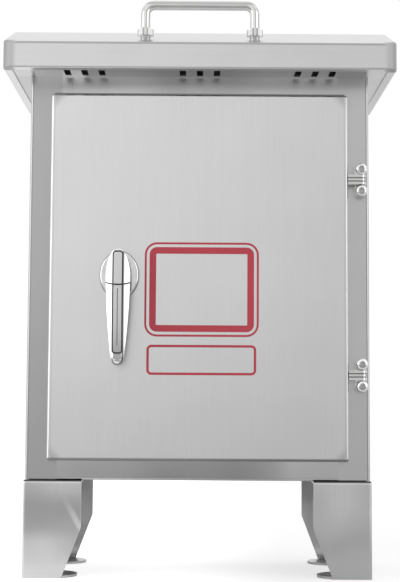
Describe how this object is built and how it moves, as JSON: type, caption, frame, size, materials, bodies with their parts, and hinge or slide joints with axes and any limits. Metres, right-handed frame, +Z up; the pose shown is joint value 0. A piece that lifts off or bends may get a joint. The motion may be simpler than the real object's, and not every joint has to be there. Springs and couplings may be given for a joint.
{
  "type": "roadside utility cabinet",
  "caption": "Small outdoor electrical cabinet in folded stainless steel: sloped roof with air slots and a carry handle, hinged door with a lever lock, sheet legs with foot discs.",
  "frame": {"origin": "on the ground, at the centre of the four anchor holes in the foot discs", "axes": "+Z up, -Y towards the front with the door, +X to the right as seen from the front"},
  "size_m": [0.3994, 0.219, 0.588],
  "materials": {
    "stainless_sheet": "brushed stainless steel, soft gloss",
    "polished_steel": "polished stainless steel",
    "lock_chrome": "bright chrome plate on a casting",
    "zinc_plated": "zinc-plated steel, satin",
    "galvanised_plate": "galvanised steel, mottled",
    "brass": "drawn brass, satin",
    "spacer_plastic": "moulded black plastic",
    "rubber": "soft black rubber"
  },
  "bodies": {
    "cabinet": {"side_panel_left": "stainless_sheet", "side_panel_right": "stainless_sheet", "back_panel": "stainless_sheet", "floor_panel": "stainless_sheet", "header_rail": "stainless_sheet", "roof_hood": "stainless_sheet", "eaves_front": "stainless_sheet", "eaves_rear": "stainless_sheet", "eaves_left": "stainless_sheet", "eaves_right": "stainless_sheet", "leg_front_left": "stainless_sheet", "leg_front_right": "stainless_sheet", "leg_rear_left": "stainless_sheet", "leg_rear_right": "stainless_sheet", "foot_front_left": "stainless_sheet", "foot_front_right": "stainless_sheet", "foot_rear_left": "stainless_sheet", "foot_rear_right": "stainless_sheet", "leg_bolts": "zinc_plated", "leg_nuts": "zinc_plated", "carry_handle": "polished_steel", "handle_nuts": "polished_steel", "hinge_bracket_upper": "polished_steel", "hinge_bracket_lower": "polished_steel", "hinge_screws": "polished_steel", "hinge_nuts": "zinc_plated", "mounting_plate": "galvanised_plate", "plate_studs": "zinc_plated", "plate_spacers": "spacer_plastic", "plate_nuts": "zinc_plated", "din_rail": "zinc_plated", "din_rail_screws": "zinc_plated", "earth_bar": "brass", "earth_bar_spacers": "spacer_plastic", "earth_bar_screws": "zinc_plated", "cable_grommet_left": "rubber", "cable_grommet_right": "rubber"},
    "door": {"door_panel": "stainless_sheet", "door_gasket": "rubber", "hinge_arm_upper": "polished_steel", "hinge_arm_lower": "polished_steel", "hinge_pins": "polished_steel", "lock_rosette": "lock_chrome", "lock_sleeve": "zinc_plated", "lock_nut": "zinc_plated"},
    "lever": {"lock_lever": "lock_chrome", "lock_spindle": "zinc_plated", "lock_cam": "zinc_plated", "cam_nut": "zinc_plated", "cap_pin": "zinc_plated"},
    "dust_cap": {"dust_cap": "lock_chrome"},
    "key_plug": {"key_plug": "brass"}
  },
  "joints": [
    {"name": "door_swing", "type": "hinge", "parent": "cabinet", "child": "door", "pos_m": [0.166, -0.083, 0.305], "axis": [0, 0, 1], "range_deg": [0, 110]},
    {"name": "lever_turn", "type": "hinge", "parent": "door", "child": "lever", "pos_m": [-0.0805, -0.088, 0.305], "axis": [0, -1, 0], "range_deg": [0, 90]},
    {"name": "cap_flip", "type": "hinge", "parent": "lever", "child": "dust_cap", "pos_m": [-0.0805, -0.1085, 0.321], "axis": [-1, 0, 0], "range_deg": [0, 100]},
    {"name": "key_turn", "type": "hinge", "parent": "lever", "child": "key_plug", "pos_m": [-0.0805, -0.111, 0.305], "axis": [0, -1, 0], "range_deg": [0, 90]}
  ]
}
